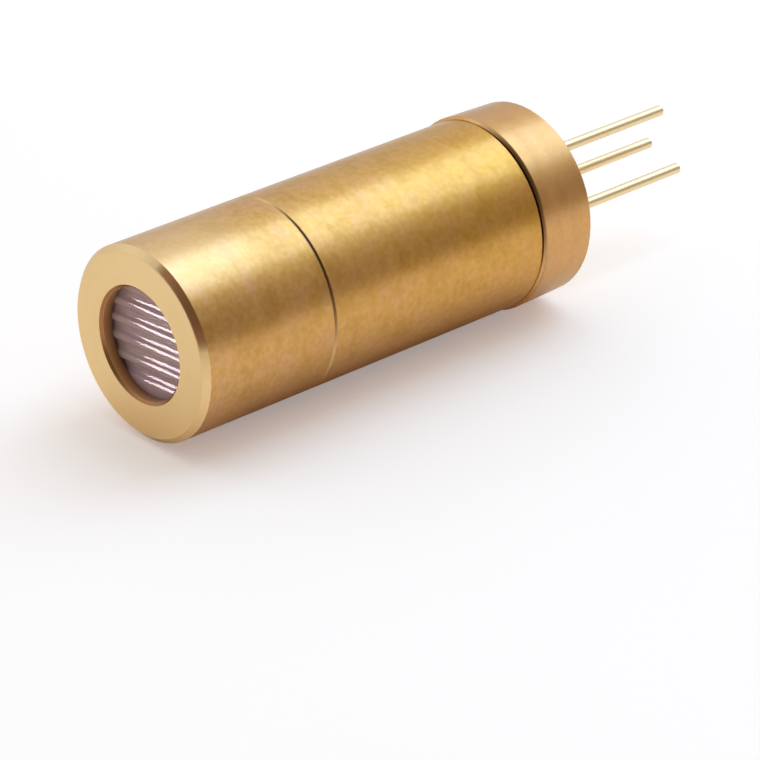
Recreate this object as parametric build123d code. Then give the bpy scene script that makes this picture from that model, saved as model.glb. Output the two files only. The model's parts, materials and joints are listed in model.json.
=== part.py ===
from build123d import *

import os

# Laser diode module with a line lens, in a turned brass housing.
# Millimetres. The origin is the middle of the front face, the beam leaves along -Y,
# +Y runs back to the leads and +Z is up.
# The radii are stacked outward, from the circle of the leads to the outside of the housing.

# Leads
lead_radius = 0.225
lead_circle_radius = 1.27
lead_length = 8.8
lead_tip_chamfer = 0.05
laser_lead_rise = 1.1
monitor_lead_rise = 0.4
diode_roll = 64.6

# Can and window
lead_to_can = 0.135
can_wall = 0.15
can_flange_width = 0.27
can_flange_thickness = 0.15
can_height = 2.4
can_hole_radius = 0.8
window_to_can = 0.33
window_thickness = 0.25

# Diode header and heat sink
header_seat_width = 0.6
header_thickness = 1.2
press_clearance = 0.01
notch_width = 0.5
seal_radius = 0.5
post_width = 1.8
post_depth = 0.9
post_length = 1.4

# Chips
submount_width = 0.8
submount_thickness = 0.25
submount_length = 0.9
chip_width = 0.3
chip_thickness = 0.12
chip_length = 0.6
photodiode_width = 0.7
photodiode_thickness = 0.2
wire_radius = 0.02
bond_wire_sides = 8
wire_rise = 0.1
pad_inset = 0.12

# Diode holder
can_clearance = 0.15
holder_wall = 0.37
holder_recess = 0.3
holder_flange_thickness = 1.1
holder_body_length = 2.1
holder_edge_chamfer = 0.08

# Rear ring
ring_gap = 0.32
ring_front_wall = 0.61
ring_rear_wall = 0.54
ring_length = 2.7
ring_bore_chamfer = 0.08
rear_chamfer = 0.14

# Barrel
barrel_length = 11.1
thread_step = 0.5
thread_wall = 0.48
socket_wall = 0.58
thread_clearance = 0.02
seam_chamfer = 0.05
joint_chamfer = 0.11

# Front cap
cap_length = 6.5
front_chamfer = 0.24
lip_width = 0.58
lip_thickness = 0.55
lip_chamfer = 0.12
cap_spigot_wall = 0.5
cap_spigot_length = 2.5
spigot_relief = 0.2

# Line lens and its ring
lens_thickness = 1.7
lens_clearance = 0.03
groove_count = 5
groove_pitch = 0.756
groove_depth = 0.172
lens_roll = -3.9
lens_ring_length = 1.0
lens_ring_wall = 0.68

# Spanner slots
slot_width = 0.6
slot_depth = 0.4

# Collimator
focal_gap = 3.4
collimator_rim = 1.0
collimator_rim_width = 0.42
collimator_front_bulge = 0.85
collimator_rear_bulge = 0.15
optic_margin = 0.05
cell_wall = 0.88
cell_length = 4.2
cell_lip = 0.6
collimator_ring_length = 0.8

# Focus spring
spring_wire = 0.4
spring_half_turns = 7
wire_sides = 6

# Length by which a cut runs past the surface that it opens
overrun = 1.0

# Radii, from the leads outward
can_bore_radius = lead_circle_radius + lead_radius + lead_to_can
can_radius = can_bore_radius + can_wall
can_flange_radius = can_radius + can_flange_width
holder_bore_radius = can_flange_radius + can_clearance
header_radius = holder_bore_radius + header_seat_width
holder_flange_radius = header_radius + press_clearance + holder_wall
ring_bore_radius = holder_flange_radius + ring_gap
thread_radius = ring_bore_radius - thread_clearance
body_radius = ring_bore_radius + thread_step

# Radii, from the housing inward
barrel_bore_radius = thread_radius - thread_wall
socket_radius = body_radius - socket_wall
cap_spigot_radius = socket_radius - thread_clearance
cap_bore_radius = cap_spigot_radius - cap_spigot_wall
aperture_radius = cap_bore_radius - lip_width
lens_radius = cap_bore_radius - lens_clearance
cell_radius = barrel_bore_radius - thread_clearance
collimator_seat_radius = cell_radius - cell_wall
collimator_radius = collimator_seat_radius - lens_clearance
optic_radius = collimator_radius - collimator_rim_width
collimator_bore_radius = optic_radius + optic_margin
spring_radius = (holder_bore_radius + barrel_bore_radius) / 2

# Stations along the beam axis
barrel_front = cap_length
barrel_rear = barrel_front + barrel_length
rear_rim = barrel_rear + ring_length
holder_rear = rear_rim - holder_recess
barrel_end = holder_rear - holder_flange_thickness
holder_front = barrel_end - holder_body_length
header_front = holder_rear - header_thickness
chip_front = header_front - post_length
lens_rear = lip_thickness + lens_thickness
collimator_seat = chip_front - focal_gap - collimator_rear_bulge
cell_rear = collimator_seat + cell_lip
cell_front = cell_rear - cell_length
collimator_front = collimator_seat - collimator_rim


def turned(*outline):
    """Solid of revolution about the beam axis, from (radius, station) points."""
    return revolve(make_face(Polyline(*outline, close=True)), Axis.Y)


def pair_of_slots(station, outer_radius):
    """Bar that cuts two opposite spanner slots across a round face at a station."""
    return Pos(0, station, 0) * Box(2 * (outer_radius + overrun), 2 * slot_depth, slot_width)


def front_cap():
    """Cap with the beam aperture, the line lens seat and a spigot for the barrel."""
    spigot_end = cap_length + cap_spigot_length
    return turned(
        (aperture_radius + lip_chamfer, 0),
        (body_radius - front_chamfer, 0),
        (body_radius, front_chamfer),
        (body_radius, cap_length - seam_chamfer),
        (body_radius - seam_chamfer, cap_length),
        (cap_spigot_radius, cap_length),
        (cap_spigot_radius, spigot_end - seam_chamfer),
        (cap_spigot_radius - seam_chamfer, spigot_end),
        (cap_bore_radius, spigot_end),
        (cap_bore_radius, lip_thickness),
        (aperture_radius, lip_thickness),
        (aperture_radius, lip_chamfer),
    )


def line_lens():
    """Round plate with a row of smooth grooves across its front, and ribs between them."""
    half_pitch = groove_pitch / 2
    rib_top = lip_thickness
    groove_floor = rib_top + groove_depth
    flank = (rib_top + groove_floor) / 2
    outer_rib = groove_count * half_pitch
    half_width = outer_rib + half_pitch / 2
    wave = [
        ThreePointArc(
            (step * half_pitch - half_pitch / 2, flank),
            (step * half_pitch, groove_floor if (step + groove_count) % 2 else rib_top),
            (step * half_pitch + half_pitch / 2, flank),
        )
        for step in range(-groove_count, groove_count + 1)
    ]
    back = Polyline(
        (half_width, flank), (half_width, lens_rear), (-half_width, lens_rear), (-half_width, flank)
    )
    plate = extrude(Plane.ZY * make_face([*wave, back]), amount=lens_radius, both=True)
    margin = Pos(0, rib_top, outer_rib) * Box(
        2 * lens_radius,
        lens_rear - rib_top,
        2 * lens_radius,
        align=(Align.CENTER, Align.MIN, Align.MIN),
    )
    plate += [margin, Rot(Y=180) * margin]
    disc = turned((0, 0), (lens_radius, 0), (lens_radius, lens_rear), (0, lens_rear))
    return Rot(Y=lens_roll) * (plate & disc)


def lens_ring():
    """Threaded ring that holds the line lens against the lip of the cap."""
    outer = cap_bore_radius - thread_clearance
    inner = outer - lens_ring_wall
    rear = lens_rear + lens_ring_length
    ring = turned((inner, lens_rear), (outer, lens_rear), (outer, rear), (inner, rear))
    return ring - pair_of_slots(rear, outer)


def barrel():
    """Main tube, counterbored for the cap, with a reduced threaded end for the rear ring."""
    socket_floor = cap_length + cap_spigot_length + spigot_relief
    return turned(
        (socket_radius, barrel_front),
        (body_radius - seam_chamfer, barrel_front),
        (body_radius, barrel_front + seam_chamfer),
        (body_radius, barrel_rear - joint_chamfer),
        (body_radius - joint_chamfer, barrel_rear),
        (thread_radius, barrel_rear),
        (thread_radius, barrel_end),
        (barrel_bore_radius, barrel_end),
        (barrel_bore_radius, socket_floor),
        (socket_radius, socket_floor),
    )


def rear_ring():
    """Slightly tapered ring screwed on the end of the barrel."""
    ring_front_radius = ring_bore_radius + ring_front_wall
    ring_rear_radius = ring_bore_radius + ring_rear_wall
    return turned(
        (ring_bore_radius, barrel_rear),
        (ring_front_radius - joint_chamfer, barrel_rear),
        (ring_front_radius, barrel_rear + joint_chamfer),
        (ring_rear_radius, rear_rim - rear_chamfer),
        (ring_rear_radius - rear_chamfer, rear_rim),
        (ring_bore_radius + ring_bore_chamfer, rear_rim),
        (ring_bore_radius, rear_rim - ring_bore_chamfer),
    )


def collimator_cell():
    """Threaded cell for the collimator lens, turned by two slots in its front face."""
    cell = turned(
        (collimator_seat_radius, cell_front),
        (cell_radius, cell_front),
        (cell_radius, cell_rear),
        (collimator_bore_radius, cell_rear),
        (collimator_bore_radius, collimator_seat),
        (collimator_seat_radius, collimator_seat),
    )
    return cell - pair_of_slots(cell_front, cell_radius)


def collimator_lens():
    """Moulded collimating lens with a flat rim, steep in front and nearly flat behind."""
    front_vertex = collimator_front - collimator_front_bulge
    rear_vertex = collimator_seat + collimator_rear_bulge
    front_curve = bulge_arc(collimator_front, -collimator_front_bulge)
    rear_curve = bulge_arc(collimator_seat, collimator_rear_bulge)
    rim = Polyline(
        (optic_radius, collimator_front),
        (collimator_radius, collimator_front),
        (collimator_radius, collimator_seat),
        (optic_radius, collimator_seat),
    )
    axis_line = Line((0, rear_vertex), (0, front_vertex))
    return revolve(make_face([front_curve, rim, rear_curve, axis_line]), Axis.Y)


def bulge_arc(station, bulge):
    """Half of a spherical cap's section, from the edge of the optic to the axis."""
    ball = (optic_radius**2 + bulge**2) / (2 * abs(bulge))
    side = 1 if bulge > 0 else -1
    centre = station + bulge - side * ball
    half_radius = optic_radius / 2
    middle = centre + side * (ball**2 - half_radius**2) ** 0.5
    return ThreePointArc((optic_radius, station), (half_radius, middle), (0, station + bulge))


def collimator_ring():
    """Threaded ring in front of the collimator lens."""
    outer = collimator_seat_radius - thread_clearance
    front = collimator_front - collimator_ring_length
    ring = turned(
        (collimator_bore_radius, front),
        (outer, front),
        (outer, collimator_front),
        (collimator_bore_radius, collimator_front),
    )
    return ring - pair_of_slots(front, outer)


def focus_spring():
    """Wire spring with plain ends, from the collimator cell to the diode holder.

    Each half turn is a half ring, tilted so that it ends along the start of the next.
    """
    first = cell_rear + spring_wire / 2
    rise = (holder_front - cell_rear - spring_wire) / spring_half_turns
    half_turns = []
    for turn in range(spring_half_turns):
        side = 1 if turn % 2 == 0 else -1
        start = Vector(side * spring_radius, first + turn * rise, 0)
        middle = Vector(0, start.Y + rise / 2, 0)
        section = Plane(origin=start, z_dir=(0, 0, side)) * RegularPolygon(spring_wire / 2, wire_sides)
        tilted = Axis(middle, (-side * rise / 2, -spring_radius, 0))
        half_turns.append(revolve(section, tilted, 180))
    return Part() + half_turns


def diode_holder():
    """Flanged insert pressed in the end of the barrel, counterbored for the diode."""
    body = barrel_bore_radius - press_clearance
    counterbore = header_radius + press_clearance
    return turned(
        (holder_bore_radius, holder_front),
        (body, holder_front),
        (body, barrel_end),
        (holder_flange_radius, barrel_end),
        (holder_flange_radius, holder_rear - holder_edge_chamfer),
        (holder_flange_radius - holder_edge_chamfer, holder_rear),
        (counterbore, holder_rear),
        (counterbore, header_front),
        (holder_bore_radius, header_front),
    )


def diode_header():
    """Round base with three notches in its rim and two holes for the sealed leads."""
    header = turned(
        (0, header_front), (header_radius, header_front), (header_radius, holder_rear), (0, holder_rear)
    )
    notch = Rot(Y=45) * Box(notch_width, 2 * (header_thickness + overrun), notch_width)
    square = Box(notch_width, 2 * (header_thickness + overrun), notch_width)
    hole = turned(
        (0, header_front - overrun),
        (seal_radius, header_front - overrun),
        (seal_radius, holder_rear + overrun),
        (0, holder_rear + overrun),
    )
    for side in (-1, 1):
        header -= Pos(side * header_radius, holder_rear, 0) * notch
        header -= Pos(side * lead_circle_radius, 0, 0) * hole
    return header - Pos(0, holder_rear, header_radius) * square


def lead_seal(side):
    """Glass bead round a lead, filling its hole in the header."""
    seal = turned(
        (lead_radius, header_front),
        (seal_radius, header_front),
        (seal_radius, holder_rear),
        (lead_radius, holder_rear),
    )
    return Pos(side * lead_circle_radius, 0, 0) * seal


def lead(start):
    """Round lead from a station to its free tip, on the beam axis."""
    tip = holder_rear + lead_length
    return turned(
        (0, start),
        (lead_radius, start),
        (lead_radius, tip - lead_tip_chamfer),
        (lead_radius - lead_tip_chamfer, tip),
        (0, tip),
    )


def heat_sink_post():
    """Block on the header that carries the laser chip, rounded to clear the can."""
    face = chip_thickness + submount_thickness
    block = Pos(0, header_front - post_length, face) * Box(
        post_width, post_length, post_depth, align=(Align.CENTER, Align.MIN, Align.MIN)
    )
    envelope = turned(
        (0, header_front - post_length),
        (can_bore_radius - can_wall, header_front - post_length),
        (can_bore_radius - can_wall, header_front),
        (0, header_front),
    )
    return block & envelope


def submount():
    """Heat spreader between the chip and the post."""
    return Pos(0, chip_front, chip_thickness) * Box(
        submount_width,
        submount_length,
        submount_thickness,
        align=(Align.CENTER, Align.MIN, Align.MIN),
    )


def laser_chip():
    """Laser chip, its front facet level with the submount's front edge."""
    return Pos(0, chip_front, 0) * Box(
        chip_width, chip_length, chip_thickness, align=(Align.CENTER, Align.MIN, Align.MIN)
    )


def monitor_photodiode():
    """Square photodiode on the header, behind the rear facet of the chip."""
    return Pos(0, header_front, 0) * Box(
        photodiode_width,
        photodiode_thickness,
        photodiode_width / 2,
        align=(Align.CENTER, Align.MAX, Align.CENTER),
    )


def bond_wire(start, end, rise):
    """Wire that leaves two pads square to them: two risers joined by half a circle."""
    up = rise.normalized()
    first = start + rise
    last = first + (end - start) - up * (end - start).dot(up)
    middle = (first + last) / 2
    section = RegularPolygon(wire_radius, bond_wire_sides)
    bend = revolve(Plane(origin=first, z_dir=up) * section, Axis(middle, (first - middle).cross(up)), 180)
    risers = [
        extrude(Plane(origin=pad, z_dir=up) * section, amount=(top - pad).length)
        for pad, top in ((start, first), (end, last))
    ]
    return bend + risers


def chip_wire():
    """Wire from the top of the chip to the side of the laser lead."""
    middle = chip_front + chip_length / 2
    pad = Vector(0, middle, 0)
    post = Vector(lead_circle_radius, middle, -lead_radius)
    return bond_wire(pad, post, Vector(0, 0, -(wire_rise + lead_radius)))


def photodiode_wire():
    """Wire from the photodiode's edge to the end of the monitor lead."""
    pad = Vector(-photodiode_width / 2 + pad_inset, header_front - photodiode_thickness, 0)
    post = Vector(-lead_circle_radius, header_front - monitor_lead_rise, 0)
    return bond_wire(pad, post, Vector(0, -(wire_rise + monitor_lead_rise - photodiode_thickness), 0))


def diode_can():
    """Thin cap welded to the header, with a hole for the beam."""
    top = header_front - can_height
    flange = header_front - can_flange_thickness
    return turned(
        (can_hole_radius, top),
        (can_radius, top),
        (can_radius, flange),
        (can_flange_radius, flange),
        (can_flange_radius, header_front),
        (can_bore_radius, header_front),
        (can_bore_radius, top + can_wall),
        (can_hole_radius, top + can_wall),
    )


def can_window():
    """Glass disc sealed to the inside of the can's top."""
    window_radius = can_bore_radius - window_to_can
    front = header_front - can_height + can_wall
    return turned(
        (0, front),
        (window_radius, front),
        (window_radius, front + window_thickness),
        (0, front + window_thickness),
    )


def diode_parts():
    """Pieces of the diode that sit off the axis, turned together to the roll of the leads."""
    laser_start = header_front - laser_lead_rise
    monitor_start = header_front - monitor_lead_rise
    pieces = {
        "diode_header": diode_header(),
        "heat_sink_post": heat_sink_post(),
        "submount": submount(),
        "laser_chip": laser_chip(),
        "monitor_photodiode": monitor_photodiode(),
        "laser_lead": Pos(lead_circle_radius, 0, 0) * lead(laser_start),
        "monitor_lead": Pos(-lead_circle_radius, 0, 0) * lead(monitor_start),
        "common_lead": Pos(0, 0, -lead_circle_radius) * lead(holder_rear),
        "laser_lead_seal": lead_seal(1),
        "monitor_lead_seal": lead_seal(-1),
        "chip_wire": chip_wire(),
        "photodiode_wire": photodiode_wire(),
    }
    return {name: Rot(Y=diode_roll) * piece for name, piece in pieces.items()}


def all_parts():
    """Every piece by its name."""
    return {
        "front_cap": front_cap(),
        "line_lens": line_lens(),
        "lens_ring": lens_ring(),
        "barrel": barrel(),
        "rear_ring": rear_ring(),
        "collimator_cell": collimator_cell(),
        "collimator_lens": collimator_lens(),
        "collimator_ring": collimator_ring(),
        "focus_spring": focus_spring(),
        "diode_holder": diode_holder(),
        "diode_can": diode_can(),
        "can_window": can_window(),
        **diode_parts(),
    }


os.makedirs("parts", exist_ok=True)
for name, piece in all_parts().items():
    export_step(piece, f"parts/{name}.step")
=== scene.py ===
import json

import bpy
from mathutils import Matrix, Vector


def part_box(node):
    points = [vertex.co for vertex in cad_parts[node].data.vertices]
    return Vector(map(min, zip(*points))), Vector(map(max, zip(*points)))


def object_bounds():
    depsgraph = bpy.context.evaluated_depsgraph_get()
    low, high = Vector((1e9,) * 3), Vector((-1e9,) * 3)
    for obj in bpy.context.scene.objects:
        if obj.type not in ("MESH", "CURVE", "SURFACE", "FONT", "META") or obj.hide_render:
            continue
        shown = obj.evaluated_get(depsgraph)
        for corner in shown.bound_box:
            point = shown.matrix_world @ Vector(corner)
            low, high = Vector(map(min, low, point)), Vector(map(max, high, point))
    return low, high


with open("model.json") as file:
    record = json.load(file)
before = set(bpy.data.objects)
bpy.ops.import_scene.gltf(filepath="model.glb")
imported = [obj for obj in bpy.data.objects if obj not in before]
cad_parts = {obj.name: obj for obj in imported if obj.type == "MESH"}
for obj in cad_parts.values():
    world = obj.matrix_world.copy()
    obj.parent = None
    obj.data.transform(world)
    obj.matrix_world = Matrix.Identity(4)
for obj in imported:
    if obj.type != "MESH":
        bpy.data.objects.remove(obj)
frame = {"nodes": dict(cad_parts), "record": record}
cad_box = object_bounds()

# Laser diode module with a line lens, lying on a pale floor.
# Metres, in the frame of the solids: the beam leaves along -Y and +Z is up.
# Patterns on the part are worked out in millimetres, from its own position.

MM = 0.001

# Sockets of a Mix node that works on colours
MIX_SHARE = 0
MIX_FIRST = 6
MIX_SECOND = 7
MIX_RESULT = 2

# Camera: place, the ways right and ahead, focal length and sensor width in millimetres
CAMERA_PLACE = (110.748 * MM, -87.698 * MM, 71.451 * MM)
CAMERA_RIGHT = (0.67042, 0.74198, 0.0)
CAMERA_AHEAD = (-0.65903, 0.59547, -0.45944)
CAMERA_LENS = 196.635
CAMERA_SENSOR = 36.0
CAMERA_NEAR = 0.01
CAMERA_FAR = 10.0

# Floor: its glow, and a painted shadow that dims it in reflections close under the housing
FLOOR_HALF = 2.0
FLOOR_COLOUR = (0.98, 0.87, 0.76, 1.0)
FLOOR_SHADE = (0.96, 0.85, 0.74, 1.0)
FLOOR_ROUGHNESS = 0.9
FLOOR_NOISE = (0.05, 2.0, 0.5)
FLOOR_GLOW = 0.28
REFLECTED_GLOW_SHARE = 0.63
PAINTED_SHADOW_REACH = (2.0, 9.0)
PAINTED_SHADOW_INSET = 6.0

# Surround: brighter and cooler towards its axis, with a shaded patch on the camera's side
SURROUND_AXIS = (-0.6, 0.0, 0.8)
SURROUND_LEVELS = ((0.0, 0.23), (0.35, 0.29), (0.5, 0.43), (0.75, 0.75), (1.0, 0.95))
SURROUND_WARMTH = (1.0, 0.74, 0.5, 1.0)
SURROUND_COOLNESS = (0.95, 1.03, 1.16, 1.0)
SHADE_AXIS = (0.32, -0.79, 0.52)
SHADE_START = 0.55
SHADE_SHARE = 0.25

# Key lamp: place, width and height in metres, power in watts
KEY_PLACE = (0.008, 0.16, 0.2)
KEY_SIZE = (0.175, 0.26)
KEY_POWER = 0.21
KEY_COLOUR = (0.61, 0.97, 1.45)

# Small strip lamp that draws the fine lines on the ribs of the lens, with lengths in metres
STRIP_AIM = (0.0, 0.0006, 0.0)
STRIP_RAY = (-0.659, -0.7514, 0.005)
STRIP_SIDE = (0.748, -0.663, 0.0)
STRIP_DISTANCE = 0.015
STRIP_SHIFT = 0.0005
STRIP_SIZE = (0.005, 0.011)
STRIP_LEAN = 0.21
STRIP_POWER = 0.0085
STRIP_COLOUR = (1.0, 0.87, 0.93)

# Turned brass: pale, deep and blush tones
HOUSING_TONES = ((0.76, 0.405, 0.09, 1.0), (0.62, 0.3, 0.045, 1.0), (0.76, 0.375, 0.15, 1.0))
INNER_TONES = ((0.62, 0.4, 0.13, 1.0), (0.5, 0.28, 0.07, 1.0), (0.58, 0.35, 0.14, 1.0))

# Noises on the brass. Every noise here is its scale per millimetre, detail and roughness
BLOTCH_NOISE = (0.75, 3.0, 0.55)
SPECK_NOISE = (2.2, 2.0, 0.55)
FLECK_NOISE = (4.2, 1.0, 0.5)
MARK_NOISE = (1.0, 3.0, 0.6)
RING_NOISE = (1.0, 2.0, 0.6)

# Lathe marks and broader rings: how fine they are round the axis and along it
MARK_STRETCH = (0.12, 5.0)
RING_STRETCH = (0.25, 2.2)
MARK_SHARE = 0.3
MARK_ROUGHNESS = 0.08
MARK_BUMP = 0.3
MARK_HEIGHT = 0.02 * MM
RING_ROUGHNESS = (0.22, 0.42)

# Mottling: soft blotches, specks of the deep tone, and small dark and pale flecks
BLOTCH_STOPS = (0.38, 0.5, 0.63)
SPECK_SHARES = (-0.2, 0.9)
DARK_FLECK = (0.6, 0.34, 0.06, 1.0)
PALE_FLECK = (0.86, 0.48, 0.18, 1.0)
FLECK_STOPS = (0.38, 0.5, 0.62)
FLECK_SHARE = 0.3

# Slow change of tint from the front to the rear
TINT_LENGTH = 17.0
FRONT_TINT = (1.01, 1.05, 1.42, 1.0)
REAR_TINT = (0.98, 0.96, 0.7, 1.0)

# Polish of the brass
BRASS_SPECULAR = (0.74, 0.74, 0.68, 1.0)
BRASS_COAT = {"Coat_Weight": 0.4, "Coat_Roughness": 0.18, "Coat_IOR": 1.6}

# Redder rear ring
RING_BLUSH = (0.75, 0.4, 0.185, 1.0)
RING_BLUSH_SHARE = 0.5

# Joints: painted shade on the side of one bearing, painted highlights at two others
JOINT_CORE = 0.05
JOINT_EDGE = 0.1
PAINTED_SHADE_TONE = (0.24, 0.12, 0.035, 1.0)
JOINT_SHADE_BEARING = (0.79, 0.0, 0.61)
JOINT_SHADE_REACH = (0.6, 0.9)
PAINTED_HIGHLIGHT_TONE = (0.98, 0.7, 0.34, 1.0)
JOINT_HIGHLIGHT_SHARE = 0.55
JOINT_HIGHLIGHT_SIDES = (((0.14, 0.0, 0.99), (0.93, 0.99)), ((0.97, 0.0, -0.26), (0.9, 0.99)))

# Painted highlight: paler sheen on top of the cap
SHEEN_BEARING = (0.17, 0.0, 0.98)
SHEEN_REACH = (0.8, 1.0)
SHEEN_FADE = (2.0, 5.5)
SHEEN_SHARE = 0.45

# Front of the cap, by depth behind its face: brushed face, painted highlight on the chamfer, painted
# shade on one side of that
FACE_DEPTH = 0.02
FACE_TONE = (0.87, 0.63, 0.285, 1.0)
FACE_SHARE = 0.5
CHAMFER_DEPTH = 0.24
CHAMFER_HIGHLIGHT_SHARE = 0.75
CHAMFER_SHADE_START = (0.02, 0.05)
CHAMFER_SHADE_END = (0.22, 0.28)
CHAMFER_SHADE_BEARING = (0.71, 0.0, 0.71)
CHAMFER_SHADE_REACH = (0.88, 0.95)
CHAMFER_SHADE_TONE = (0.62, 0.27, 0.1, 1.0)

# Aperture: dark lip, and a recess wall darkened inwards by painted shade
LIP_WIDTH = 0.11
LIP_TONE = (0.46, 0.2, 0.06, 1.0)
WALL_MARGIN = 0.01
WALL_METAL = 0.2
RECESS_TONE = (0.66, 0.33, 0.12, 1.0)
RECESS_SHADE_FADE = (0.15, 0.6)
RECESS_SHADE_END_SHARE = 0.25

# Line lens: clouded tones, and a polish that alone shows the full depth of the ribs
LENS_STOPS = (0.3, 0.5, 0.7)
LENS_TONES = ((0.52, 0.33, 0.32, 1.0), (0.57, 0.39, 0.35, 1.0), (0.54, 0.35, 0.35, 1.0))
LENS_NOISE = (0.9, 3.0, 0.55)
LENS_IOR = 1.21
LENS_POLISH = 0.06
LENS_ROUGHNESS = 0.5
LENS_CLEARNESS = 0.12
RIB_SHADE = 0.08

# Other finishes: paler colour, deeper colour, roughness
GOLD = ((0.97, 0.76, 0.43, 1.0), (0.93, 0.7, 0.37, 1.0), 0.38)
STEEL = ((0.62, 0.62, 0.62, 1.0), (0.5, 0.5, 0.5, 1.0), 0.3)
NICKEL = ((0.7, 0.69, 0.66, 1.0), (0.6, 0.59, 0.56, 1.0), 0.2)
SEAL = ((0.05, 0.06, 0.06, 1.0), (0.02, 0.025, 0.025, 1.0), 0.15)
CERAMIC = ((0.8, 0.79, 0.76, 1.0), (0.7, 0.69, 0.66, 1.0), 0.5)
CHIP = ((0.05, 0.05, 0.06, 1.0), (0.03, 0.03, 0.04, 1.0), 0.12)
PLATING_NOISE = (3.0, 3.0, 0.6)
PLATING_SHARE = 0.6
PLATING_ROUGHNESS = (-0.06, 0.08)
PLATING_COAT = {"Coat_Weight": 0.3, "Coat_Roughness": 0.2}
DULL_NOISE = (9.0, 3.0, 0.6)
DULL_ROUGHNESS = (-0.05, 0.05)

# Clear glass: colours of the collimating lens and the window, and of their haze
COLLIMATOR_GLASS = (0.7, 0.74, 0.76, 1.0)
WINDOW_GLASS = (0.75, 0.78, 0.8, 1.0)
HAZE_COLOUR = (0.85, 0.85, 0.85, 1.0)
HAZE_NOISE = (2.0, 2.0, 0.5)
HAZE_ROUGHNESS = 0.03
GLASS_IOR = 1.5


def nodes_of(tree_owner):
    """Node tree of a material or world, emptied."""
    tree_owner.use_nodes = True
    tree = tree_owner.node_tree
    tree.nodes.clear()
    return tree


def node(tree, kind, links=(), **settings):
    """A node with its settings, and its sockets fed from other nodes or set to a value."""
    made = tree.nodes.new(kind)
    for name, value in settings.items():
        setattr(made, name, value)
    for socket, source in dict(links).items():
        if isinstance(source, bpy.types.NodeSocket):
            tree.links.new(source, made.inputs[socket])
        else:
            made.inputs[socket].default_value = source
    return made


def maths(tree, operation, first, second=0.0):
    """Result of a sum on one or two values."""
    return node(tree, "ShaderNodeMath", {0: first, 1: second}, operation=operation).outputs[0]


def vector(tree, operation, first, second=(0.0, 0.0, 0.0)):
    """Result of a sum on one or two vectors that gives a vector."""
    return node(tree, "ShaderNodeVectorMath", {0: first, 1: second}, operation=operation).outputs[0]


def measure(tree, operation, first, second=(0.0, 0.0, 0.0)):
    """Result of a sum on one or two vectors that gives a value."""
    made = node(tree, "ShaderNodeVectorMath", {0: first, 1: second}, operation=operation)
    return made.outputs["Value"]


def ranged(tree, value, ends, low=0.0, high=1.0):
    """A value moved from between two ends into another range, and held at its limits."""
    sockets = {"Value": value, "From Min": ends[0], "From Max": ends[1], "To Min": low, "To Max": high}
    return node(tree, "ShaderNodeMapRange", sockets).outputs["Result"]


def between(tree, value, low, high):
    """A value from 0 to 1 moved into a range."""
    return ranged(tree, value, (0.0, 1.0), low, high)


def noise(tree, place, scale, detail, roughness):
    """Noise between 0 and 1."""
    sockets = {"Vector": place, "Scale": scale, "Detail": detail, "Roughness": roughness}
    return node(tree, "ShaderNodeTexNoise", sockets).outputs["Fac"]


def ramp(tree, value, stops, tones):
    """Colour ramp over a value, with a tone at each stop."""
    made = node(tree, "ShaderNodeValToRGB", {"Fac": value})
    points = made.color_ramp.elements
    for stop in stops[1:-1]:
        points.new(stop)
    for point, stop, tone in zip(points, stops, tones):
        point.position = stop
        point.color = tone
    return made.outputs["Color"]


def mixed(tree, share, first, second, blend="MIX"):
    """Two colours mixed."""
    sockets = {MIX_SHARE: share, MIX_FIRST: first, MIX_SECOND: second}
    made = node(tree, "ShaderNodeMix", sockets, data_type="RGBA", blend_type=blend)
    return made.outputs[MIX_RESULT]


def shader(tree, **sockets):
    """The material's one surface shader, joined to its output."""
    names = {name.replace("_", " "): value for name, value in sockets.items()}
    surface = node(tree, "ShaderNodeBsdfPrincipled", names)
    node(tree, "ShaderNodeOutputMaterial", {"Surface": surface.outputs[0]})


def grey(level):
    """Opaque neutral colour."""
    return (level, level, level, 1.0)


def millimetres(tree):
    """Position on the part, in millimetres."""
    place = node(tree, "ShaderNodeTexCoord").outputs["Object"]
    return node(tree, "ShaderNodeVectorMath", {0: place, "Scale": 1 / MM}, operation="SCALE").outputs[0]


def station(tree, place):
    """How far a place lies along the beam axis, behind the front face."""
    return node(tree, "ShaderNodeSeparateXYZ", {0: place}).outputs["Y"]


def off_axis(tree, place):
    """The way straight out from the beam axis to a place."""
    return vector(tree, "MULTIPLY", place, (1.0, 0.0, 1.0))


def turned_place(tree, place, across, along):
    """Position stretched round the beam axis, so that a noise over it follows a lathe's marks."""
    x, y, z = node(tree, "ShaderNodeSeparateXYZ", {0: place}).outputs
    radius = measure(tree, "LENGTH", off_axis(tree, place))
    sockets = {
        "X": maths(tree, "MULTIPLY", radius, along),
        "Y": maths(tree, "MULTIPLY", y, along),
        "Z": maths(tree, "MULTIPLY", maths(tree, "ADD", x, z), across),
    }
    return node(tree, "ShaderNodeCombineXYZ", sockets).outputs[0]


def sector(tree, place, bearing, reach):
    """1 on the side of the part that faces a bearing round the beam axis, falling to 0 away from it."""
    outward = vector(tree, "NORMALIZE", off_axis(tree, place))
    return ranged(tree, measure(tree, "DOT_PRODUCT", outward, bearing), reach)


def bands(tree, y, stations, core, edge):
    """1 within a short way of any station along the beam axis, falling to 0 at the edge of the band."""
    total = 0.0
    for middle in stations:
        away = maths(tree, "ABSOLUTE", maths(tree, "SUBTRACT", y, middle))
        total = maths(tree, "MAXIMUM", total, ranged(tree, away, (core, edge), 1.0, 0.0))
    return total


def mottled(tree, place, pale, deep, blush):
    """Brass in soft blotches, with specks and small flecks over them."""
    tone = ramp(tree, noise(tree, place, *BLOTCH_NOISE), BLOTCH_STOPS, (deep, pale, blush))
    speck = noise(tree, place, *SPECK_NOISE)
    tone = mixed(tree, between(tree, speck, *SPECK_SHARES), tone, deep)
    fleck = noise(tree, place, *FLECK_NOISE)
    return mixed(tree, FLECK_SHARE, tone, ramp(tree, fleck, FLECK_STOPS, (DARK_FLECK, pale, PALE_FLECK)))


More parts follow.
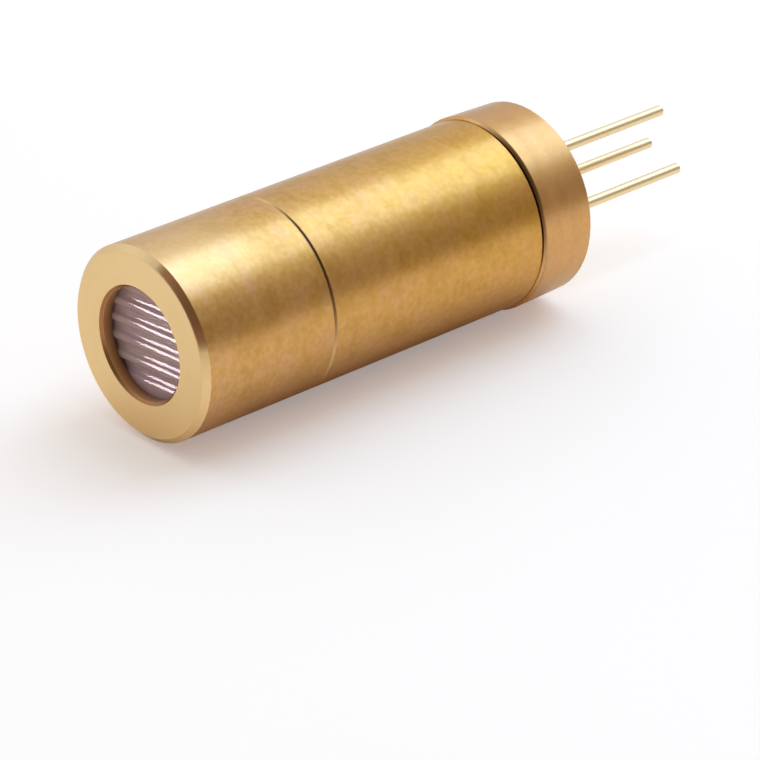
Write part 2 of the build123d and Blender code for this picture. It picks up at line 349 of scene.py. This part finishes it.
def tinted_along(tree, y, tone):
    """Tone made cooler at the front and warmer at the rear."""
    along = maths(tree, "DIVIDE", y, TINT_LENGTH)
    return mixed(tree, 1.0, tone, mixed(tree, along, FRONT_TINT, REAR_TINT), "MULTIPLY")


def redder_ring(tree, y, tone):
    """Tone with the blush of the rear ring."""
    ring_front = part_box("rear_ring")[0][1] / MM
    on_ring = maths(tree, "GREATER_THAN", y, ring_front)
    return mixed(tree, maths(tree, "MULTIPLY", on_ring, RING_BLUSH_SHARE), tone, RING_BLUSH)


def joints_with_painted_light(tree, place, y, tone):
    """Tone with painted shade in both joints on one side, and painted highlights on their edges where
    they catch the light.
    """
    joints = [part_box(piece)[0][1] / MM for piece in ("barrel", "rear_ring")]
    joint = bands(tree, y, joints, JOINT_CORE, JOINT_EDGE)
    # Painted highlights: the joints' edges made paler on two bearings where they catch the light
    for bearing, reach in JOINT_HIGHLIGHT_SIDES:
        joint_highlight = maths(tree, "MULTIPLY", joint, sector(tree, place, bearing, reach))
        tone = mixed(tree, maths(tree, "MULTIPLY", joint_highlight, JOINT_HIGHLIGHT_SHARE), tone, PAINTED_HIGHLIGHT_TONE)
    # Painted shade: both joints darkened on one bearing
    joint_shade = maths(tree, "MULTIPLY", joint, sector(tree, place, JOINT_SHADE_BEARING, JOINT_SHADE_REACH))
    return mixed(tree, joint_shade, tone, PAINTED_SHADE_TONE)


def painted_cap_sheen(tree, place, y, tone):
    """Tone with a painted highlight, a paler sheen on top of the cap that fades out before its rear seam.
    """
    # Painted highlight on top of the cap
    patch = maths(
        tree,
        "MULTIPLY",
        ranged(tree, y, SHEEN_FADE, SHEEN_SHARE, 0.0),
        sector(tree, place, SHEEN_BEARING, SHEEN_REACH),
    )
    return mixed(tree, patch, tone, PAINTED_HIGHLIGHT_TONE)


def cap_front(tree, place, y, tone):
    """Tone with the painted highlight on the chamfer, painted shade on one side of it and the brushed
    face.
    """
    chamfer = maths(tree, "LESS_THAN", y, CHAMFER_DEPTH)
    # Painted highlight: the chamfer made paler
    tone = mixed(tree, maths(tree, "MULTIPLY", chamfer, CHAMFER_HIGHLIGHT_SHARE), tone, PAINTED_HIGHLIGHT_TONE)
    # Painted shade: one side of the chamfer and just behind it darkened
    side = sector(tree, place, CHAMFER_SHADE_BEARING, CHAMFER_SHADE_REACH)
    side = maths(tree, "MULTIPLY", side, ranged(tree, y, CHAMFER_SHADE_START))
    behind = maths(tree, "MULTIPLY", side, ranged(tree, y, CHAMFER_SHADE_END, 1.0, 0.0))
    tone = mixed(tree, behind, tone, PAINTED_SHADE_TONE)
    tone = mixed(tree, maths(tree, "MULTIPLY", side, chamfer), tone, CHAMFER_SHADE_TONE)
    face_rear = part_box("front_cap")[0][1] / MM + FACE_DEPTH
    face = maths(tree, "LESS_THAN", y, face_rear)
    return mixed(tree, maths(tree, "MULTIPLY", face, FACE_SHARE), tone, FACE_TONE)


def recess(tree, place, y, tone):
    """Tone with the dark lip, the wall of the aperture darkened inwards by painted shade, and how
    metallic each place is.
    """
    opening = next(mount for mount in frame["record"]["mounts"] if mount["name"] == "aperture")
    aperture_radius = opening["dims"]["r_mm"]
    radius = measure(tree, "LENGTH", off_axis(tree, place))
    lip = maths(tree, "LESS_THAN", radius, aperture_radius + LIP_WIDTH)
    tone = mixed(tree, lip, tone, LIP_TONE)
    wall = maths(tree, "LESS_THAN", radius, aperture_radius + WALL_MARGIN)
    # Painted shade: the recess wall darkens inwards
    recess_shade = ranged(tree, y, RECESS_SHADE_FADE, 1.0, RECESS_SHADE_END_SHARE)
    tone = mixed(tree, wall, tone, mixed(tree, 1.0, RECESS_TONE, recess_shade, "MULTIPLY"))
    return tone, between(tree, wall, 1.0, WALL_METAL)


def housing_details(tree, place, y, tone):
    """Tone and metal of the housing's own places: ring, joints, top and front of the cap, aperture."""
    tone = redder_ring(tree, y, tone)
    tone = joints_with_painted_light(tree, place, y, tone)
    tone = painted_cap_sheen(tree, place, y, tone)
    tone = cap_front(tree, place, y, tone)
    return recess(tree, place, y, tone)


def turned_brass(material, pale, deep, blush, details=None):
    """Satin brass with lathe marks, mottled, with details at places of its own if it has any."""
    tree = nodes_of(material)
    place = millimetres(tree)
    y = station(tree, place)
    marks = noise(tree, turned_place(tree, place, *MARK_STRETCH), *MARK_NOISE)
    rings = noise(tree, turned_place(tree, place, *RING_STRETCH), *RING_NOISE)
    tone = mottled(tree, place, pale, deep, blush)
    tone = mixed(tree, between(tree, marks, 0.0, MARK_SHARE), tone, pale)
    tone = tinted_along(tree, y, tone)
    metal = 1.0
    if details:
        tone, metal = details(tree, place, y, tone)
    rough = between(tree, rings, *RING_ROUGHNESS)
    rough = maths(tree, "ADD", rough, between(tree, marks, 0.0, MARK_ROUGHNESS))
    bump = node(tree, "ShaderNodeBump", {"Height": marks, "Strength": MARK_BUMP, "Distance": MARK_HEIGHT})
    shader(
        tree,
        Base_Color=tone,
        Metallic=metal,
        Roughness=rough,
        Specular_Tint=BRASS_SPECULAR,
        Normal=bump.outputs[0],
        **BRASS_COAT,
    )


def plated(material, colour, deep, rough):
    """Thin plating over turned metal, a little worn."""
    tree = nodes_of(material)
    wear = noise(tree, millimetres(tree), *PLATING_NOISE)
    smoother, rougher = PLATING_ROUGHNESS
    shader(
        tree,
        Base_Color=mixed(tree, between(tree, wear, 0.0, PLATING_SHARE), colour, deep),
        Metallic=1.0,
        Roughness=between(tree, wear, rough + smoother, rough + rougher),
        **PLATING_COAT,
    )


def clear_glass(material, colour):
    """Polished glass with a trace of haze."""
    tree = nodes_of(material)
    haze = noise(tree, millimetres(tree), *HAZE_NOISE)
    shader(
        tree,
        Base_Color=mixed(tree, haze, colour, HAZE_COLOUR),
        Roughness=between(tree, haze, 0.0, HAZE_ROUGHNESS),
        Transmission_Weight=1.0,
        IOR=GLASS_IOR,
    )


def line_lens_glass(material):
    """Smoky lens glass whose body looks almost flat, under a hard polish that follows the ribs."""
    tree = nodes_of(material)
    cloud = noise(tree, millimetres(tree), *LENS_NOISE)
    slope = node(tree, "ShaderNodeNewGeometry").outputs["Normal"]
    flatter = vector(tree, "MULTIPLY", slope, (RIB_SHADE, 1.0, RIB_SHADE))
    shader(
        tree,
        Base_Color=ramp(tree, cloud, LENS_STOPS, LENS_TONES),
        Roughness=LENS_ROUGHNESS,
        Transmission_Weight=LENS_CLEARNESS,
        IOR=LENS_IOR,
        Specular_IOR_Level=0.0,
        Normal=vector(tree, "NORMALIZE", flatter),
        Coat_Weight=1.0,
        Coat_Roughness=LENS_POLISH,
        Coat_IOR=LENS_IOR,
    )


def dull(material, colour, deep, rough):
    """Plain fired or polished surface with fine variation."""
    tree = nodes_of(material)
    grain = noise(tree, millimetres(tree), *DULL_NOISE)
    smoother, rougher = DULL_ROUGHNESS
    shader(
        tree,
        Base_Color=mixed(tree, grain, colour, deep),
        Roughness=between(tree, grain, rough + smoother, rough + rougher),
    )


# What builds the material of each of the record's slots, and what it is given
FINISHES = {
    "housing_brass": (turned_brass, (*HOUSING_TONES, housing_details)),
    "inner_brass": (turned_brass, INNER_TONES),
    "gold_plating": (plated, GOLD),
    "line_lens_glass": (line_lens_glass, ()),
    "collimator_glass": (clear_glass, (COLLIMATOR_GLASS,)),
    "window_glass": (clear_glass, (WINDOW_GLASS,)),
    "seal_glass": (dull, SEAL),
    "spring_steel": (plated, STEEL),
    "can_nickel": (plated, NICKEL),
    "submount_ceramic": (dull, CERAMIC),
    "chip": (dull, CHIP),
}


def dress():
    """Gives every node of the part the procedural material of its slot."""
    made = {}
    for subpart in frame["record"]["subparts"]:
        slot = subpart["material_slot"]
        if slot not in made:
            made[slot] = bpy.data.materials.new(slot)
            build, settings = FINISHES[slot]
            build(made[slot], *settings)
        for place in frame["nodes"][subpart["node"]].material_slots:
            place.material = made[slot]


def away_from_housing(tree):
    """Mask of the painted shadow: 0 on the floor close under the housing, rising to 1 a little way out.
    """
    y_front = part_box("front_cap")[0][1] / MM + PAINTED_SHADOW_INSET
    y_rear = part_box("rear_ring")[1][1] / MM - PAINTED_SHADOW_INSET
    x, y, _ = node(tree, "ShaderNodeSeparateXYZ", {0: millimetres(tree)}).outputs
    past_front = maths(tree, "SUBTRACT", y_front, y)
    past_rear = maths(tree, "SUBTRACT", y, y_rear)
    past = maths(tree, "MAXIMUM", maths(tree, "MAXIMUM", past_front, past_rear), 0.0)
    squares = maths(tree, "ADD", maths(tree, "MULTIPLY", x, x), maths(tree, "MULTIPLY", past, past))
    return ranged(tree, maths(tree, "SQRT", squares), PAINTED_SHADOW_REACH)


def floor_material():
    """Pale floor that glows white to the camera, and less in what the housing reflects, where a painted
    shadow dims it close under the housing.
    """
    material = bpy.data.materials.new("floor")
    tree = nodes_of(material)
    grain = noise(tree, millimetres(tree), *FLOOR_NOISE)
    seen = node(tree, "ShaderNodeLightPath").outputs["Is Camera Ray"]
    # Painted shadow: the glow in reflections is dimmed close under the housing
    dimmed = maths(tree, "MULTIPLY", away_from_housing(tree), REFLECTED_GLOW_SHARE)
    shader(
        tree,
        Base_Color=mixed(tree, grain, FLOOR_COLOUR, FLOOR_SHADE),
        Roughness=FLOOR_ROUGHNESS,
        Emission_Color=grey(1.0),
        Emission_Strength=maths(tree, "MULTIPLY", maths(tree, "MAXIMUM", seen, dimmed), FLOOR_GLOW),
    )
    return material


def floor():
    """Floor under the lowest line of the housing."""
    level = cad_box[0][2]
    corners = [(x * FLOOR_HALF, y * FLOOR_HALF, level) for x, y in ((-1, -1), (1, -1), (1, 1), (-1, 1))]
    mesh = bpy.data.meshes.new("floor")
    mesh.from_pydata(corners, [], [(0, 1, 2, 3)])
    mesh.materials.append(floor_material())
    ground = bpy.data.objects.new("floor", mesh)
    bpy.context.scene.collection.objects.link(ground)


def surround():
    """Soft studio surround, brighter above and to the left."""
    world = bpy.data.worlds.new("studio")
    bpy.context.scene.world = world
    tree = nodes_of(world)
    facing = node(tree, "ShaderNodeTexCoord").outputs["Generated"]
    lean = measure(tree, "DOT_PRODUCT", facing, Vector(SURROUND_AXIS).normalized())
    level = ranged(tree, lean, (-1.0, 1.0))
    stops, levels = zip(*SURROUND_LEVELS)
    light = ramp(tree, level, stops, [grey(brightness) for brightness in levels])
    tint = mixed(tree, level, SURROUND_WARMTH, SURROUND_COOLNESS)
    toward = measure(tree, "DOT_PRODUCT", facing, Vector(SHADE_AXIS).normalized())
    sockets = {
        "Color": mixed(tree, 1.0, light, tint, "MULTIPLY"),
        "Strength": ranged(tree, toward, (SHADE_START, 1.0), 1.0, SHADE_SHARE),
    }
    background = node(tree, "ShaderNodeBackground", sockets)
    node(tree, "ShaderNodeOutputWorld", {"Surface": background.outputs[0]})


def lamp(name, place, aim, size, power, colour):
    """Rectangular soft light at a place, turned to a point."""
    data = bpy.data.lights.new(name, "AREA")
    data.shape = "RECTANGLE"
    data.size, data.size_y = size
    data.energy = power
    data.color = colour
    made = bpy.data.objects.new(name, data)
    made.location = place
    made.rotation_euler = (Vector(aim) - Vector(place)).to_track_quat("-Z", "Y").to_euler()
    bpy.context.scene.collection.objects.link(made)
    return made


def lens_strip():
    """Strip lamp seen only in the polish of the lens, in front of it and to its left."""
    place = Vector(STRIP_AIM) + STRIP_DISTANCE * Vector(STRIP_RAY) + STRIP_SHIFT * Vector(STRIP_SIDE)
    strip = lamp("lens_strip", place, place - Vector(STRIP_RAY), STRIP_SIZE, STRIP_POWER, STRIP_COLOUR)
    strip.rotation_euler.rotate_axis("Z", STRIP_LEAN)
    lit = bpy.data.collections.new("lit_by_lens_strip")
    lit.objects.link(frame["nodes"]["line_lens"])
    strip.light_linking.receiver_collection = lit
    strip.visible_camera = False
    strip.visible_diffuse = False
    strip.visible_transmission = False


def camera():
    """Camera at the photograph's place, upright."""
    data = bpy.data.cameras.new("camera")
    data.lens = CAMERA_LENS
    data.sensor_width = CAMERA_SENSOR
    data.clip_start, data.clip_end = CAMERA_NEAR, CAMERA_FAR
    made = bpy.data.objects.new("camera", data)
    right, ahead = Vector(CAMERA_RIGHT).normalized(), Vector(CAMERA_AHEAD).normalized()
    up = right.cross(ahead)
    turn = Matrix((right, up, -ahead)).transposed().to_4x4()
    made.matrix_world = Matrix.Translation(CAMERA_PLACE) @ turn
    bpy.context.scene.collection.objects.link(made)
    bpy.context.scene.camera = made


def studio():
    """Floor, surround, lamps and camera."""
    floor()
    surround()
    middle = (cad_box[0] + cad_box[1]) / 2
    lamp("key", KEY_PLACE, middle, KEY_SIZE, KEY_POWER, KEY_COLOUR)
    lens_strip()
    camera()
    bpy.context.scene.view_settings.view_transform = "Standard"


dress()
studio()
